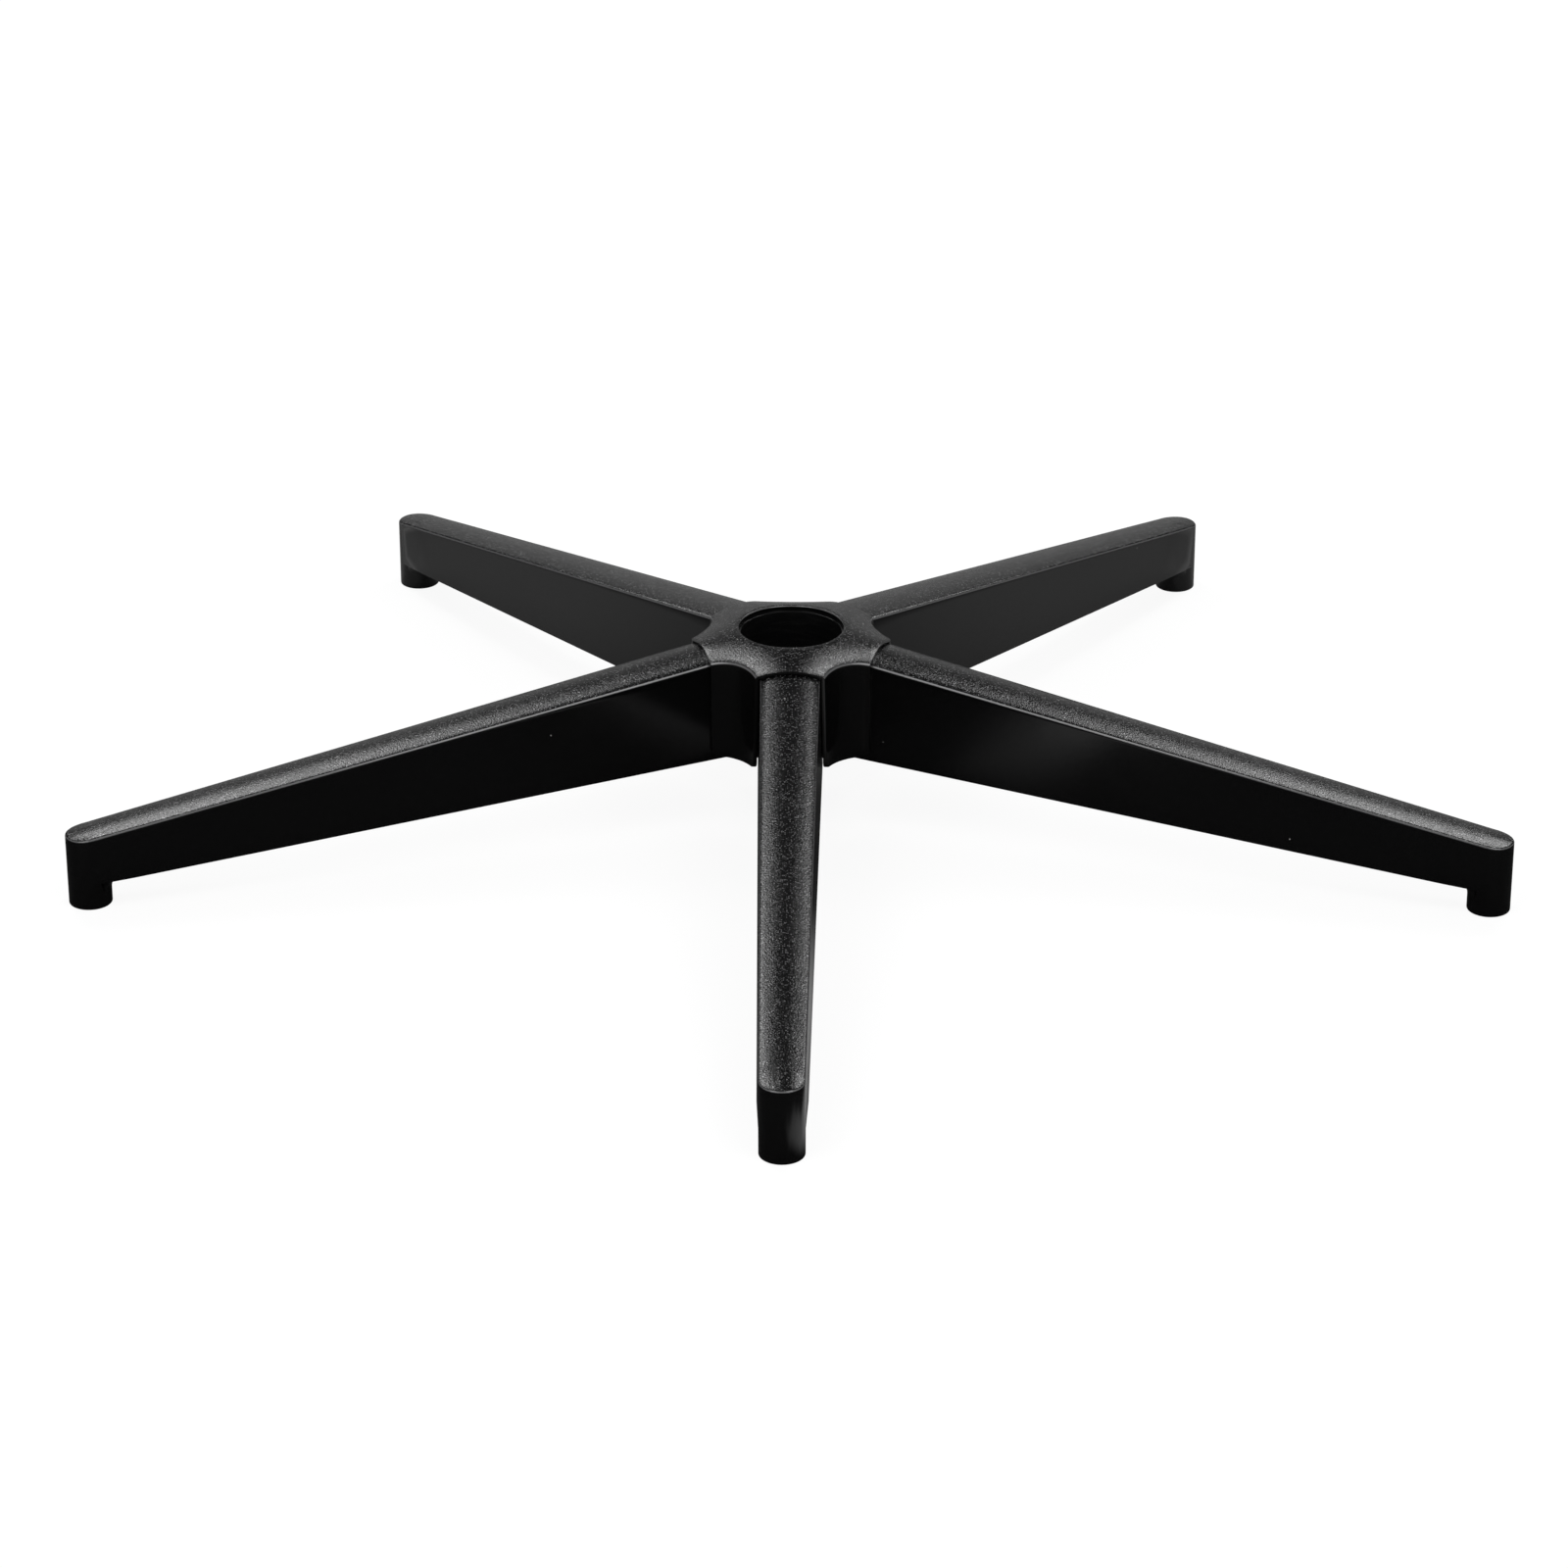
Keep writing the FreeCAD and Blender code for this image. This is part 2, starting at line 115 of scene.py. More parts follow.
# Dust, as sparse specks, and handling marks
speck_size = 0.03
speck_rarity = 0.55
cover_speck_spacing = 0.012
cover_speck_share = 0.5
coat_speck_spacing = 0.01
coat_speck_share = 0.4
streak_stretch = 9.0
patch_from, patch_full = 0.35, 0.65
streak_from, streak_full = 0.45, 0.7

# Edges of the shown copies
merge_gap = 0.000002
smooth_angle = math.radians(32)
edge_angle = math.radians(50)
edge_break = 0.00025
edge_segments = 2

# Screws and the weld bead, at the sizes of the part's own
screw_r = 0.002
thread_root_r = 0.0016
thread_pitch = 0.0011
screw_head_r = 0.0036
screw_head_h = 0.0022
head_top_share = 0.62
head_sides = 40
dome_steps = 5
thread_rise, thread_crest, thread_fall = 0.4, 0.5, 0.9
screw_tip_share = 0.8
recess_length = 0.0046
recess_width = 0.0011
recess_depth = 0.0013
cover_screw_circle_r = cover_screw_high.y - screw_head_r
bead_r = 0.0011
bead_sides = 10
bead_steps = 64
bead_cuts = 3
bead_sink = 0.2
bead_ripple = -0.0003
bead_ripple_share = 0.3

# Camera, as the photograph was taken
camera_distance = 2.514
camera_height_angle = math.radians(25.49)
camera_turn = math.radians(0.65)
camera_pan = math.radians(0.079)
camera_tilt = math.radians(0.253)
camera_lens = 118.17
camera_sensor = 36.0
camera_reach = 50

# Levels of the room, where 1 is white
backdrop_glow = 0.31
room_glow = 0.02
wall_glow = 0.3
fill_glow = 0.28

# Where the backdrop and the walls show in what shines, by direction
backdrop_from, backdrop_full = 0.0, 0.2
backdrop_side, backdrop_end = 0.28, 0.42
backdrop_low, backdrop_high = 0.3, 0.6
backdrop_top_share = 0.05
wall_full, wall_end = 0.0, 0.25

# Levels of the floor, to the camera and to what shines
floor_size = 12.0
floor_rough = 0.9
floor_white = 0.85
floor_glow = 1.06
floor_far_glow = 1.18
floor_near, floor_far = 0.6, 2.0
shine_front = 0.05
shine_back = 0.36
shine_arm = 0.6
arm_glow = 0.5

# Where the floor that shines changes: behind the hub, and at the right of the front arm
back_from, back_full = -0.05, 0.2
beside_full, beside_end = 0.045, 0.08
right_from, right_full = 0.01, 0.03
near_full, near_end = -0.24, -0.1
tip_from, tip_full = -0.42, -0.36

# Soft boxes: the place of the right one of each pair, its width and height, and its power
back_box = ((0.77, 0.985, 1.34), 0.54, 0.82, 8.2)
front_box = ((0.75, -0.95, 1.45), 0.9, 1.5, 12.0)
light_aim = (0, 0, -0.05)


# Small helpers

def deselect():
    bpy.ops.object.select_all(action="DESELECT")


def activate(piece):
    deselect()
    piece.select_set(True)
    bpy.context.view_layer.objects.active = piece


def finish_piece(piece, slot, material, *stands_for):
    """Gives a piece its finish and its place on the part, and hides the nodes that it stands for."""
    piece.data.materials.clear()
    piece.data.materials.append(material)
    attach(piece, "root")
    if stands_for:
        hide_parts(*stands_for)


def smooth_copy(node, name):
    """A copy of a node with its loose triangles joined."""
    source = frame["nodes"][node]
    mesh = source.data.copy()
    piece = bpy.data.objects.new(name, mesh)
    bpy.context.scene.collection.objects.link(piece)
    activate(piece)
    bpy.ops.object.mode_set(mode="EDIT")
    bpy.ops.mesh.select_all(action="SELECT")
    bpy.ops.mesh.remove_doubles(threshold=merge_gap)
    bpy.ops.object.mode_set(mode="OBJECT")
    return piece


def broken_edges(piece, width):
    """Breaks the sharp edges, so that they catch the light, and shades the rest smooth."""
    activate(piece)
    bevel = piece.modifiers.new("broken_edges", "BEVEL")
    bevel.width = width
    bevel.segments = edge_segments
    bevel.limit_method = "ANGLE"
    bevel.angle_limit = edge_angle
    bevel.use_clamp_overlap = True
    bpy.ops.object.modifier_apply(modifier=bevel.name)
    bpy.ops.object.shade_smooth_by_angle(angle=smooth_angle)


# Node building

def new_group(name, inputs, outputs):
    group = bpy.data.node_groups.new(name, "ShaderNodeTree")
    for label, kind, value in inputs:
        socket = group.interface.new_socket(name=label, in_out="INPUT", socket_type=kind)
        if value is not None:
            socket.default_value = value
    for label, kind in outputs:
        group.interface.new_socket(name=label, in_out="OUTPUT", socket_type=kind)
    start = group.nodes.new("NodeGroupInput")
    end = group.nodes.new("NodeGroupOutput")
    return group, start, end


def add(tree, kind, **values):
    """A node with the values of its inputs, named with underscores, or of its own settings."""
    node = tree.nodes.new(kind)
    for key, value in values.items():
        label = key.replace("_", " ").title()
        if hasattr(node, key):
            setattr(node, key, value)
        else:
            node.inputs[label].default_value = value
    return node


def math_node(tree, operation, first, second=None, clamp=False):
    node = tree.nodes.new("ShaderNodeMath")
    node.operation = operation
    node.use_clamp = clamp
    for socket, value in zip(node.inputs, (first, second)):
        if value is None:
            continue
        if isinstance(value, (int, float)):
            socket.default_value = value
        else:
            tree.links.new(value, socket)
    return node.outputs[0]


def ranged(tree, value, low, high, to_low=0.0, to_high=1.0):
    node = add(tree, "ShaderNodeMapRange", from_min=low, from_max=high, to_min=to_low, to_max=to_high)
    node.interpolation_type = "SMOOTHSTEP"
    tree.links.new(value, node.inputs["Value"])
    return node.outputs["Result"]


def mixed(tree, factor, first, second):
    """A mix of two colours, each a value or a socket."""
    node = tree.nodes.new("ShaderNodeMix")
    node.data_type = "RGBA"
    tree.links.new(factor, node.inputs["Factor"])
    for label, value in (("A", first), ("B", second)):
        socket = [s for s in node.inputs if s.name == label and s.type == "RGBA"][0]
        if isinstance(value, tuple):
            socket.default_value = value
        else:
            tree.links.new(value, socket)
    return [s for s in node.outputs if s.type == "RGBA"][0]


def mixed_value(tree, factor, first, second):
    node = tree.nodes.new("ShaderNodeMix")
    tree.links.new(factor, node.inputs["Factor"])
    for label, value in (("A", first), ("B", second)):
        socket = [s for s in node.inputs if s.name == label and s.type == "VALUE"][0]
        if isinstance(value, (int, float)):
            socket.default_value = value
        else:
            tree.links.new(value, socket)
    return [s for s in node.outputs if s.type == "VALUE"][0]


def spark_grain_group():
    """The eroded grain of a mould: pits and pebbles of mixed size, and a mask of a few facets whose
    brightness is a painted glint.
    """
    group, start, end = new_group(
        "spark_grain",
        [("Vector", "NodeSocketVector", None), ("Size", "NodeSocketFloat", 0.001)],
        [("Height", "NodeSocketFloat"), ("Painted Glints", "NodeSocketFloat")],
    )
    scale = math_node(group, "DIVIDE", 1.0, start.outputs["Size"])
    pits = add(group, "ShaderNodeTexVoronoi", randomness=1.0)
    pits.feature = "SMOOTH_F1"
    pits.inputs["Smoothness"].default_value = pit_softness
    pebbles = add(group, "ShaderNodeTexNoise", detail=2.0, roughness=0.6)
    facets = add(group, "ShaderNodeTexVoronoi", randomness=1.0)
    for node in (pits, pebbles, facets):
        group.links.new(start.outputs["Vector"], node.inputs["Vector"])
    group.links.new(scale, pits.inputs["Scale"])
    group.links.new(math_node(group, "MULTIPLY", scale, pebble_ratio), pebbles.inputs["Scale"])
    group.links.new(math_node(group, "MULTIPLY", scale, facet_ratio), facets.inputs["Scale"])
    pitted = math_node(group, "MULTIPLY", pits.outputs["Distance"], pit_share)
    height = math_node(group, "ADD", pitted, pebbles.outputs[0])
    group.links.new(height, end.inputs["Height"])
    split = add(group, "ShaderNodeSeparateColor")
    group.links.new(facets.outputs["Color"], split.inputs["Color"])
    chance = math_node(group, "POWER", split.outputs["Red"], painted_glint_rarity)
    dot = ranged(group, facets.outputs["Distance"], painted_glint_core, painted_glint_rim, 1.0, 0.0)
    group.links.new(math_node(group, "MULTIPLY", chance, dot), end.inputs["Painted Glints"])
    return group


def specks_group():
    """Sparse pale specks of dust."""
    group, start, end = new_group(
        "dust_specks",
        [("Vector", "NodeSocketVector", None), ("Spacing", "NodeSocketFloat", 0.02),
         ("Size", "NodeSocketFloat", 0.02)],
        [("Mask", "NodeSocketFloat")],
    )
    cells = add(group, "ShaderNodeTexVoronoi", randomness=1.0)
    group.links.new(start.outputs["Vector"], cells.inputs["Vector"])
    group.links.new(math_node(group, "DIVIDE", 1.0, start.outputs["Spacing"]), cells.inputs["Scale"])
    near = math_node(group, "LESS_THAN", cells.outputs["Distance"], start.outputs["Size"])
    split = add(group, "ShaderNodeSeparateColor")
    group.links.new(cells.outputs["Color"], split.inputs["Color"])
    some = math_node(group, "GREATER_THAN", split.outputs["Red"], speck_rarity)
    group.links.new(math_node(group, "MULTIPLY", near, some), end.inputs["Mask"])
    return group


def wear_group():
    """Broad patches that change how a surface shines, such as handling marks."""
    group, start, end = new_group(
        "handling_marks",
        [("Vector", "NodeSocketVector", None), ("Size", "NodeSocketFloat", 0.03)],
        [("Patches", "NodeSocketFloat"), ("Streaks", "NodeSocketFloat")],
    )
    patches = add(group, "ShaderNodeTexNoise", detail=4.0, roughness=0.55)
    streaks = add(group, "ShaderNodeTexNoise", detail=5.0, roughness=0.7)
    stretch = add(group, "ShaderNodeMapping")
    stretch.inputs["Scale"].default_value = (1.0, 1.0, streak_stretch)
    group.links.new(start.outputs["Vector"], patches.inputs["Vector"])
    group.links.new(start.outputs["Vector"], stretch.inputs["Vector"])
    group.links.new(stretch.outputs["Vector"], streaks.inputs["Vector"])
    scale = math_node(group, "DIVIDE", 1.0, start.outputs["Size"])
    group.links.new(scale, patches.inputs["Scale"])
    group.links.new(scale, streaks.inputs["Scale"])
    group.links.new(ranged(group, patches.outputs[0], patch_from, patch_full), end.inputs["Patches"])
    group.links.new(ranged(group, streaks.outputs[0], streak_from, streak_full), end.inputs["Streaks"])
    return group


spark_grain = spark_grain_group()
dust_specks = specks_group()
handling_marks = wear_group()


def new_material(name):
    """A material with its shader and its Object coordinates."""
    material = bpy.data.materials.new(name)
    material.use_nodes = True
    tree = material.node_tree
    shader = tree.nodes["Principled BSDF"]
    place = tree.nodes.new("ShaderNodeTexCoord").outputs["Object"]
    return material, tree, shader, place


def placed(tree, group, place, **values):
    node = tree.nodes.new("ShaderNodeGroup")
    node.node_tree = group
    tree.links.new(place, node.inputs["Vector"])
    for label, value in values.items():
        node.inputs[label].default_value = value
    return node


def seen_straight(tree, path):
    """1 for what the camera sees, straight or through something clear."""
    camera, through = path.outputs["Is Camera Ray"], path.outputs["Is Transmission Ray"]
    return math_node(tree, "ADD", camera, through, clamp=True)


def cover_plastic_material():
    """Black moulded plastic: grain with painted glints on what faces up, satin walls and a painted
    highlight along the edge fillets.
    """
    material, tree, shader, place = new_material("cover_plastic")
    grain = placed(tree, spark_grain, place, Size=grain_size)
    marks = placed(tree, handling_marks, place, Size=cover_mark_size)
    dust = placed(tree, dust_specks, place, Spacing=cover_speck_spacing, Size=speck_size)
    geometry = tree.nodes.new("ShaderNodeNewGeometry")
    facing = add(tree, "ShaderNodeSeparateXYZ")
    tree.links.new(geometry.outputs["Normal"], facing.inputs["Vector"])
    grained = ranged(tree, facing.outputs["Z"], grain_from, grain_full)
    satin = add(tree, "ShaderNodeTexNoise", scale=1 / satin_size, detail=2.0)
    tree.links.new(place, satin.inputs["Vector"])

    # Painted highlight: the fillet band between the walls and the top, picked by how far it faces up,
    # gets the glint grey and some metal
    highlight_above_wall = ranged(tree, facing.outputs["Z"], highlight_band_from, highlight_band_full)
    highlight_below_top = ranged(tree, facing.outputs["Z"], highlight_band_fade, highlight_band_end, highlight_band_share, 0.0)
    painted_edge_highlight = math_node(tree, "MULTIPLY", highlight_above_wall, highlight_below_top)
    # Painted glints: the grain's chosen facets get the bright grey colour and some metal in place of
    # real glints of light
    painted_highlights = math_node(tree, "MULTIPLY", grain.outputs["Painted Glints"], grained)
    painted_highlights = math_node(tree, "MAXIMUM", painted_highlights, painted_edge_highlight)
    colour = mixed(tree, painted_highlights, cover_black, painted_glint_grey)
    tree.links.new(math_node(tree, "MULTIPLY", painted_highlights, painted_glint_metal), shader.inputs["Metallic"])
    speck = math_node(tree, "MULTIPLY", dust.outputs["Mask"], cover_speck_share)
    colour = mixed(tree, speck, colour, dust_pale)
    tree.links.new(colour, shader.inputs["Base Color"])

    wall_rough = mixed_value(tree, marks.outputs["Patches"], satin_rough_low, satin_rough_high)
    top_rough = mixed_value(tree, grain.outputs["Painted Glints"], grain_rough, facet_rough)
    rough = mixed_value(tree, grained, wall_rough, top_rough)
    tree.links.new(rough, shader.inputs["Roughness"])

    deep = add(tree, "ShaderNodeBump", strength=1.0, distance=grain_depth)
    height = math_node(tree, "MULTIPLY", grain.outputs["Height"], grained)
    tree.links.new(height, deep.inputs["Height"])
    shallow = add(tree, "ShaderNodeBump", strength=satin_strength, distance=satin_depth)
    tree.links.new(satin.outputs[0], shallow.inputs["Height"])
    tree.links.new(deep.outputs["Normal"], shallow.inputs["Normal"])
    tree.links.new(shallow.outputs["Normal"], shader.inputs["Normal"])
    return material


def black_steel_material(name):
    """Black dip-coated steel, with the faint orange peel of the coat."""
    material, tree, shader, place = new_material(name)
    marks = placed(tree, handling_marks, place, Size=coat_mark_size)
    dust = placed(tree, dust_specks, place, Spacing=coat_speck_spacing, Size=speck_size)
    peel = add(tree, "ShaderNodeTexNoise", scale=1 / peel_size, detail=1.5)
    tree.links.new(place, peel.inputs["Vector"])
    worn = mixed(tree, marks.outputs["Streaks"], coat_black, coat_worn)
    speck = math_node(tree, "MULTIPLY", dust.outputs["Mask"], coat_speck_share)
    tree.links.new(mixed(tree, speck, worn, dust_pale), shader.inputs["Base Color"])
    rough = mixed_value(tree, marks.outputs["Patches"], coat_rough_low, coat_rough_high)
    tree.links.new(rough, shader.inputs["Roughness"])
    bump = add(tree, "ShaderNodeBump", strength=peel_strength, distance=peel_depth)
    tree.links.new(peel.outputs[0], bump.inputs["Height"])
    tree.links.new(bump.outputs["Normal"], shader.inputs["Normal"])
    return material


def plated_steel_material():
    """Zinc plate, cloudy where it has been handled."""
    material, tree, shader, place = new_material("plated_steel")
    shader.inputs["Metallic"].default_value = 1.0
    marks = placed(tree, handling_marks, place, Size=zinc_mark_size)
    colour = mixed(tree, marks.outputs["Patches"], zinc, zinc_dull)
    tree.links.new(colour, shader.inputs["Base Color"])
    rough = mixed_value(tree, marks.outputs["Streaks"], zinc_rough_low, zinc_rough_high)
    tree.links.new(rough, shader.inputs["Roughness"])
    fine = add(tree, "ShaderNodeTexNoise", scale=1 / zinc_grain_size, detail=2.0)
    tree.links.new(place, fine.inputs["Vector"])
    bump = add(tree, "ShaderNodeBump", strength=zinc_grain_strength, distance=zinc_grain_depth)
    tree.links.new(fine.outputs[0], bump.inputs["Height"])
    tree.links.new(bump.outputs["Normal"], shader.inputs["Normal"])
    return material


def floor_material():
    """White paper floor: white with a soft shadow to the camera, and darker to what shines."""
    material, tree, shader, place = new_material("white_floor")
    shader.inputs["Base Color"].default_value = paper_white
    shader.inputs["Roughness"].default_value = floor_rough
    path = tree.nodes.new("ShaderNodeLightPath")
    glossy = path.outputs["Is Glossy Ray"]
    split = add(tree, "ShaderNodeSeparateXYZ")
    tree.links.new(place, split.inputs["Vector"])
    across, along = split.outputs["X"], split.outputs["Y"]

    beside = ranged(tree, math_node(tree, "ABSOLUTE", across), beside_full, beside_end, 1.0, 0.0)
    right = ranged(tree, across, right_from, right_full)
    near = ranged(tree, along, near_full, near_end, 1.0, 0.0)
    past_tip = ranged(tree, along, tip_from, tip_full)
    near_arm = math_node(tree, "MULTIPLY", math_node(tree, "MULTIPLY", beside, right), near)
    near_arm = math_node(tree, "MULTIPLY", near_arm, past_tip)
    shine = mixed_value(tree, near_arm, shine_front, shine_arm)
    shine = mixed_value(tree, ranged(tree, along, back_from, back_full), shine, shine_back)

    away = add(tree, "ShaderNodeVectorMath")
    away.operation = "LENGTH"
    tree.links.new(place, away.inputs[0])
    level = ranged(tree, away.outputs["Value"], floor_near, floor_far, floor_glow, floor_far_glow)
    seen = seen_straight(tree, path)
    shown = math_node(tree, "MULTIPLY", seen, level)
    arm_light = math_node(tree, "MULTIPLY", math_node(tree, "MULTIPLY", near_arm, glossy), arm_glow)
    glow = add(tree, "ShaderNodeEmission")
    tree.links.new(math_node(tree, "ADD", shown, arm_light), glow.inputs["Strength"])

    hidden = math_node(tree, "MULTIPLY", glossy, math_node(tree, "SUBTRACT", 1.0, shine))
    white = math_node(tree, "MULTIPLY", seen, floor_white)
    share = math_node(tree, "ADD", white, hidden, clamp=True)
    mix = tree.nodes.new("ShaderNodeMixShader")
    tree.links.new(share, mix.inputs["Fac"])
    tree.links.new(shader.outputs["BSDF"], mix.inputs[1])
    tree.links.new(glow.outputs["Emission"], mix.inputs[2])
    tree.links.new(mix.outputs["Shader"], tree.nodes["Material Output"].inputs["Surface"])
    return material


cover_plastic = cover_plastic_material()
black_steel = black_steel_material("black_steel")
weld_steel = black_steel_material("weld_steel")
plated_steel = plated_steel_material()


# Screws

def raise_ring(rise, ratio, height):
    """Extrudes the selected end face upwards and then scales it about the screw's axis."""
    bpy.ops.mesh.extrude_region_move(TRANSFORM_OT_translate={"value": (0, 0, rise)})
    if ratio != 1:
        bpy.ops.transform.resize(value=(ratio, ratio, 1), center_override=(0, 0, height))


def cross_recess(head):
    """Cuts the driver's cross into the underside of the head, one slot at a time."""
    for turn in (0, math.pi / 2):
        deselect()
        bpy.ops.mesh.primitive_cube_add(size=1, location=(0, 0, -screw_head_h))
        cutter = bpy.context.active_object
        cutter.scale = (recess_length, recess_width, 2 * recess_depth)
        cutter.rotation_euler.z = turn
        bpy.ops.object.transform_apply(location=True, rotation=True, scale=True)
        activate(head)
        slot = head.modifiers.new("slot", "BOOLEAN")
        slot.operation = "DIFFERENCE"
        slot.solver = "EXACT"
        slot.object = cutter
        bpy.ops.object.modifier_apply(modifier=slot.name)
        bpy.data.objects.remove(cutter)


def pan_screw(name, length):
    """A pan head screw that points up, with its seat at height 0 on the world's axis."""
    rings = []
    for step in range(1, dome_steps + 1):
        turn = step / dome_steps * math.pi / 2
        swell = head_top_share + (1 - head_top_share) * math.sin(turn)
        rings += [(-screw_head_h * math.cos(turn), screw_head_r * swell)]
    rings += [(0.0, thread_root_r)]
    for turn in range(int((length - thread_pitch) / thread_pitch)):
        base = turn * thread_pitch
        rings += [(base + thread_pitch * thread_rise, screw_r),
                  (base + thread_pitch * thread_crest, screw_r),
                  (base + thread_pitch * thread_fall, thread_root_r)]
    rings += [(length, thread_root_r * screw_tip_share)]

    height, radius = -screw_head_h, screw_head_r * head_top_share
    deselect()
    bpy.ops.mesh.primitive_circle_add(
        vertices=head_sides, radius=radius, fill_type="NGON", location=(0, 0, height),
    )
    piece = bpy.context.active_object
    piece.name = name
    bpy.ops.object.transform_apply(location=True, rotation=True, scale=True)
    bpy.ops.object.mode_set(mode="EDIT")
    bpy.ops.mesh.select_all(action="SELECT")
    for next_height, next_radius in rings:
        raise_ring(next_height - height, next_radius / radius, next_height)
        height, radius = next_height, next_radius
    bpy.ops.mesh.select_all(action="SELECT")
    bpy.ops.mesh.normals_make_consistent(inside=False)
    bpy.ops.object.mode_set(mode="OBJECT")
    cross_recess(piece)
    return piece


def screw_set(name, node, low, high, radius, first_turn):
    """Five copies of one screw, each turned its own way, joined as the node's five screws are."""
    seat_z = low.z + screw_head_h
    first = pan_screw(name, high.z - low.z - screw_head_h)
    copies = []
    for index in range(arm_count):
        turned = first_arm + first_turn + index * arm_step
        copy = first.copy()
        copy.data = first.data.copy()
        bpy.context.scene.collection.objects.link(copy)
        activate(copy)
        copy.rotation_euler.z = turned + index
        copy.location = (radius * math.cos(turned), radius * math.sin(turned), seat_z)
        bpy.ops.object.transform_apply(location=True, rotation=True, scale=True)
        copies.append(copy)
    bpy.data.objects.remove(first)
    activate(copies[0])
    for copy in copies:
        copy.select_set(True)
    bpy.ops.object.join()
    piece = bpy.context.active_object
    piece.name = name
    bpy.ops.object.shade_smooth_by_angle(angle=smooth_angle)
    finish_piece(piece, "plated_steel", plated_steel, node)


def weld_ring():
    """The bead that welds the tube into its plate, rippled by the torch's steps."""
    deselect()
    bpy.ops.mesh.primitive_torus_add(
        major_segments=bead_steps * bead_cuts, minor_segments=bead_sides,
        major_radius=tube_r + bead_r * bead_sink, minor_radius=bead_r,
        location=(0, 0, plate_under_z - bead_r * bead_sink),
    )
    piece = bpy.context.active_object
    piece.name = "tube_weld"
    bpy.ops.object.transform_apply(location=True, rotation=True, scale=True)
    bpy.ops.object.mode_set(mode="EDIT")
    bpy.ops.mesh.select_all(action="DESELECT")
    bpy.ops.object.mode_set(mode="OBJECT")
    step = math.tau / bead_steps
    for vertex in piece.data.vertices:
        turn = math.atan2(vertex.co.y, vertex.co.x) % step
        vertex.select = turn < step * bead_ripple_share
    bpy.ops.object.mode_set(mode="EDIT")
    bpy.ops.mesh.select_mode(type="VERT")
    bpy.ops.transform.shrink_fatten(value=bead_ripple)
    bpy.ops.object.mode_set(mode="OBJECT")
    bpy.ops.object.shade_smooth()
    finish_piece(piece, "black_steel", weld_steel)


# Covers and steel: the nodes' own shapes, joined and shaded smooth

def dress_nodes():
    finishes = {
        "cover_plastic": cover_plastic,
        "black_steel": black_steel,
        "plated_steel": plated_steel,
    }
    for part in frame["record"]["subparts"]:
        node, slot = part["node"], part["material_slot"]
        if slot == "plated_steel" and node.endswith("screws"):
            continue
        piece = smooth_copy(node, node + "_shown")
        broken_edges(piece, edge_break)
        finish_piece(piece, slot, finishes[slot], node)


dress_nodes()
screw_set("cover_screws_shown", "cover_screws", cover_screw_low, cover_screw_high,
          cover_screw_circle_r, arm_step / 2)
screw_set("socket_screws_shown", "socket_screws", socket_screw_low, socket_screw_high,
          foot_circle_r, 0)
weld_ring()


# Studio

def studio_floor():
    deselect()
    bpy.ops.mesh.primitive_plane_add(size=floor_size, location=(0, 0, floor_z))
    floor = bpy.context.active_object
    floor.name = "studio_floor"
    bpy.ops.object.transform_apply(location=True, rotation=True, scale=True)
    floor.data.materials.append(floor_material())


def soft_box(name, place, width, height, power):
    light = bpy.data.lights.new(name, "AREA")
    light.shape = "RECTANGLE"
    light.size = width
    light.size_y = height
    light.energy = power
    lamp = bpy.data.objects.new(name, light)
    lamp.location = place
    aim = Vector(light_aim) - Vector(place)
    lamp.rotation_euler = aim.to_track_quat("-Z", "Y").to_euler()
    bpy.context.scene.collection.objects.link(lamp)


def studio_lights():
    """Four soft boxes, at the left and right: two behind the part and two in front."""
    for kind, box in (("", back_box), ("front_", front_box)):
        place, width, height, power = box
        for name, side in (("left_box", -1), ("right_box", 1)):
            soft_box(kind + name, (side * place[0], place[1], place[2]), width, height, power)


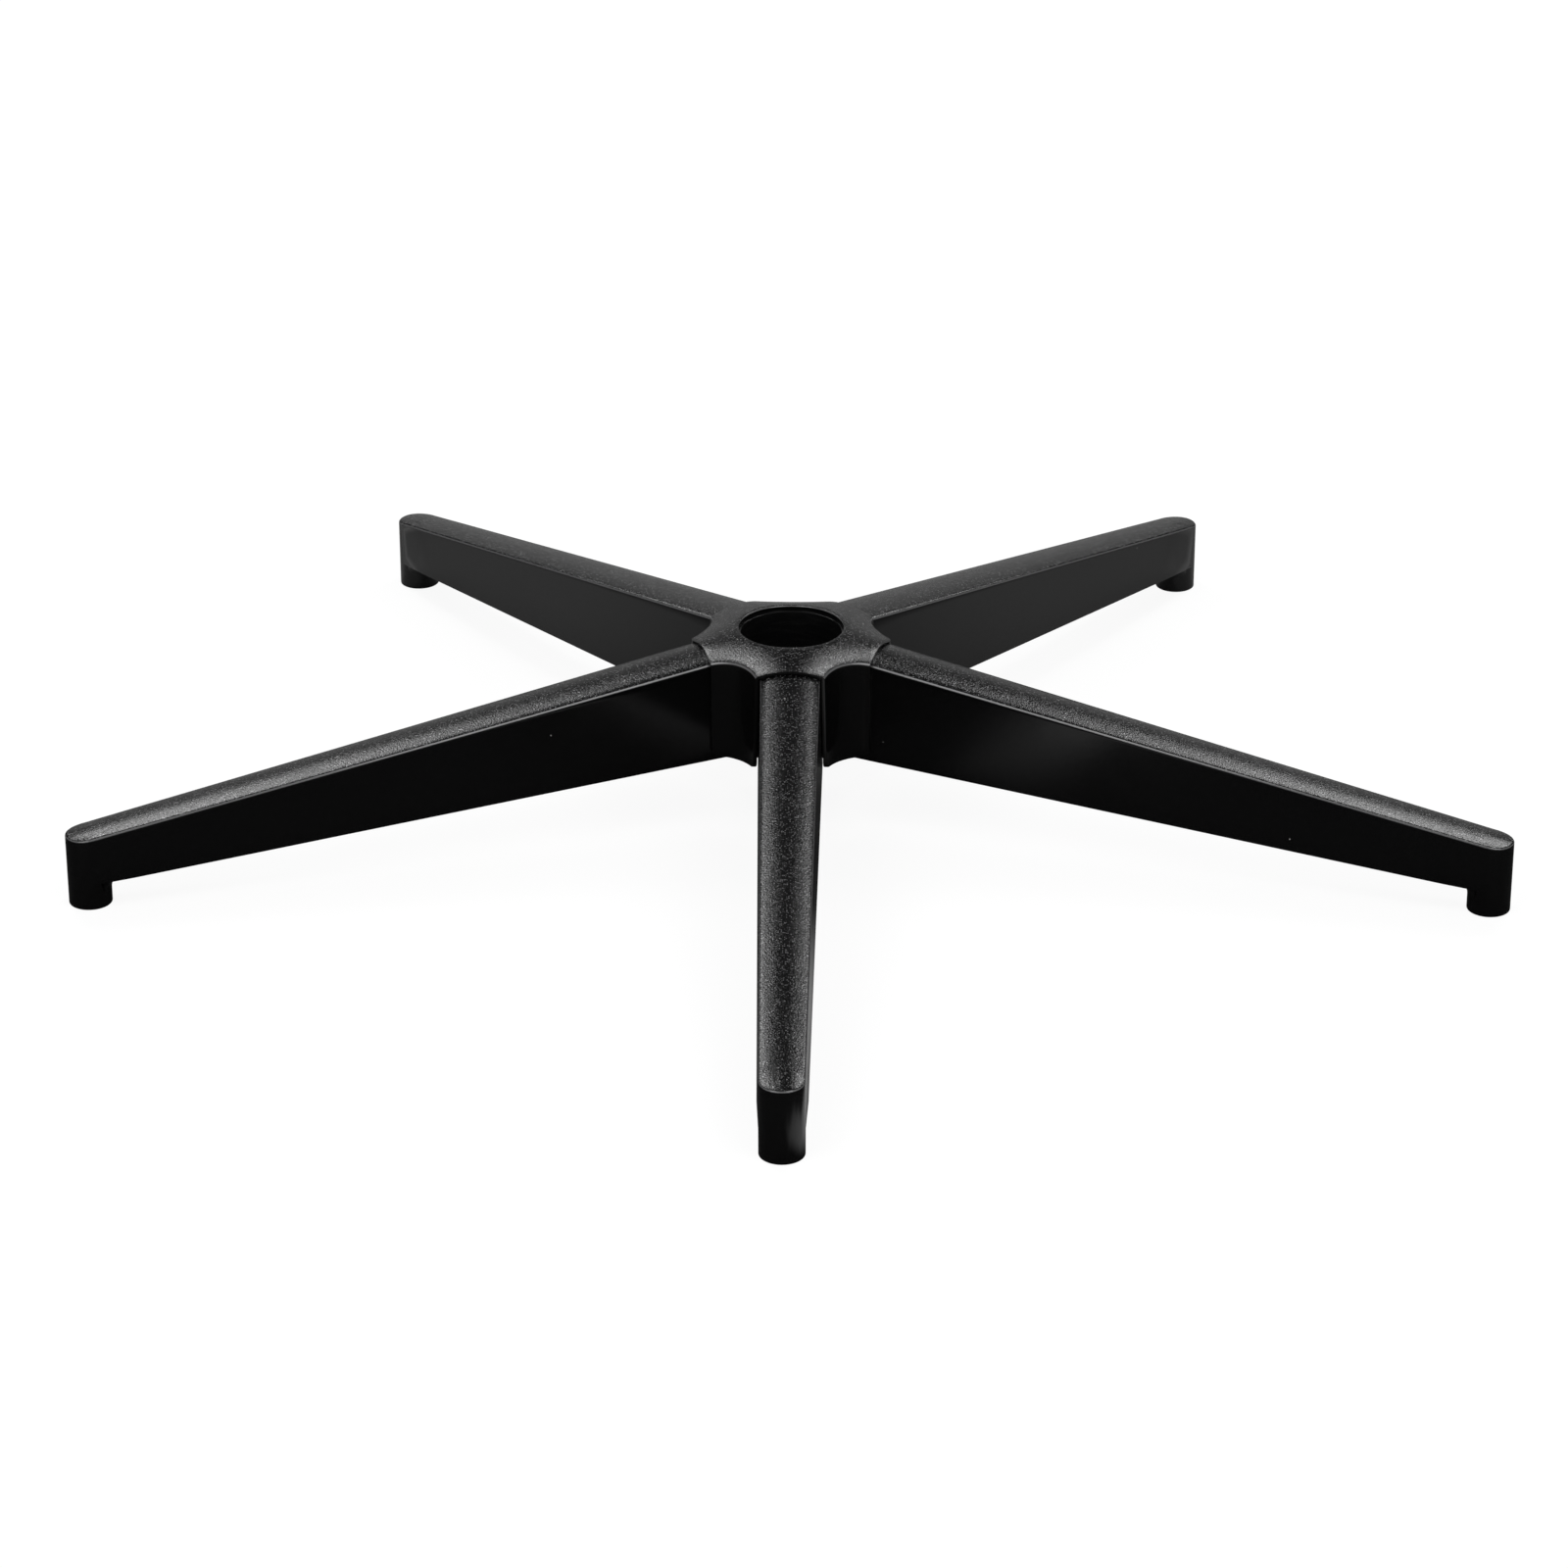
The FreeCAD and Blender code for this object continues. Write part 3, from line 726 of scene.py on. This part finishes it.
def studio_world():
    """White to the camera. What shines sees a pale backdrop behind the part and walls in front."""
    world = bpy.data.worlds.new("studio")
    bpy.context.scene.world = world
    world.use_nodes = True
    tree = world.node_tree
    background = tree.nodes["Background"]
    background.inputs["Color"].default_value = (1, 1, 1, 1)
    path = tree.nodes.new("ShaderNodeLightPath")
    glossy = path.outputs["Is Glossy Ray"]
    way = add(tree, "ShaderNodeSeparateXYZ")
    tree.links.new(tree.nodes.new("ShaderNodeTexCoord").outputs["Generated"], way.inputs["Vector"])
    across = math_node(tree, "ABSOLUTE", way.outputs["X"])
    behind = ranged(tree, way.outputs["Y"], backdrop_from, backdrop_full)
    beside = ranged(tree, across, backdrop_side, backdrop_end, 1.0, 0.0)
    below = ranged(tree, way.outputs["Z"], backdrop_low, backdrop_high, 1.0, backdrop_top_share)
    patch = math_node(tree, "MULTIPLY", math_node(tree, "MULTIPLY", behind, beside), below)
    in_front = ranged(tree, way.outputs["Y"], wall_full, wall_end, 1.0, 0.0)
    walls = math_node(tree, "MULTIPLY", in_front, wall_glow)
    room = math_node(tree, "ADD", math_node(tree, "MULTIPLY", patch, backdrop_glow), room_glow)
    room = math_node(tree, "ADD", room, walls)
    shine = math_node(tree, "MULTIPLY", glossy, room)
    soft = math_node(tree, "MULTIPLY", math_node(tree, "SUBTRACT", 1.0, glossy), fill_glow)
    unseen = math_node(tree, "ADD", shine, soft)
    strength = math_node(tree, "MAXIMUM", seen_straight(tree, path), unseen)
    tree.links.new(strength, background.inputs["Strength"])


def photograph_camera():
    data = bpy.data.cameras.new("photograph")
    data.lens = camera_lens
    data.sensor_width = camera_sensor
    data.clip_end = camera_reach
    camera = bpy.data.objects.new("photograph", data)
    level_distance = camera_distance * math.cos(camera_height_angle)
    camera.location = (
        level_distance * math.sin(camera_turn),
        -level_distance * math.cos(camera_turn),
        camera_distance * math.sin(camera_height_angle) + floor_z,
    )
    turned = Matrix.Rotation(camera_turn, 3, "Z")
    turned = turned @ Matrix.Rotation(math.pi / 2 - camera_height_angle, 3, "X")
    turned = turned @ Matrix.Rotation(camera_pan, 3, "Y") @ Matrix.Rotation(camera_tilt, 3, "X")
    camera.rotation_euler = turned.to_euler()
    bpy.context.scene.collection.objects.link(camera)
    bpy.context.scene.camera = camera


studio_floor()
studio_lights()
studio_world()
photograph_camera()
bpy.context.scene.view_settings.view_transform = "Standard"
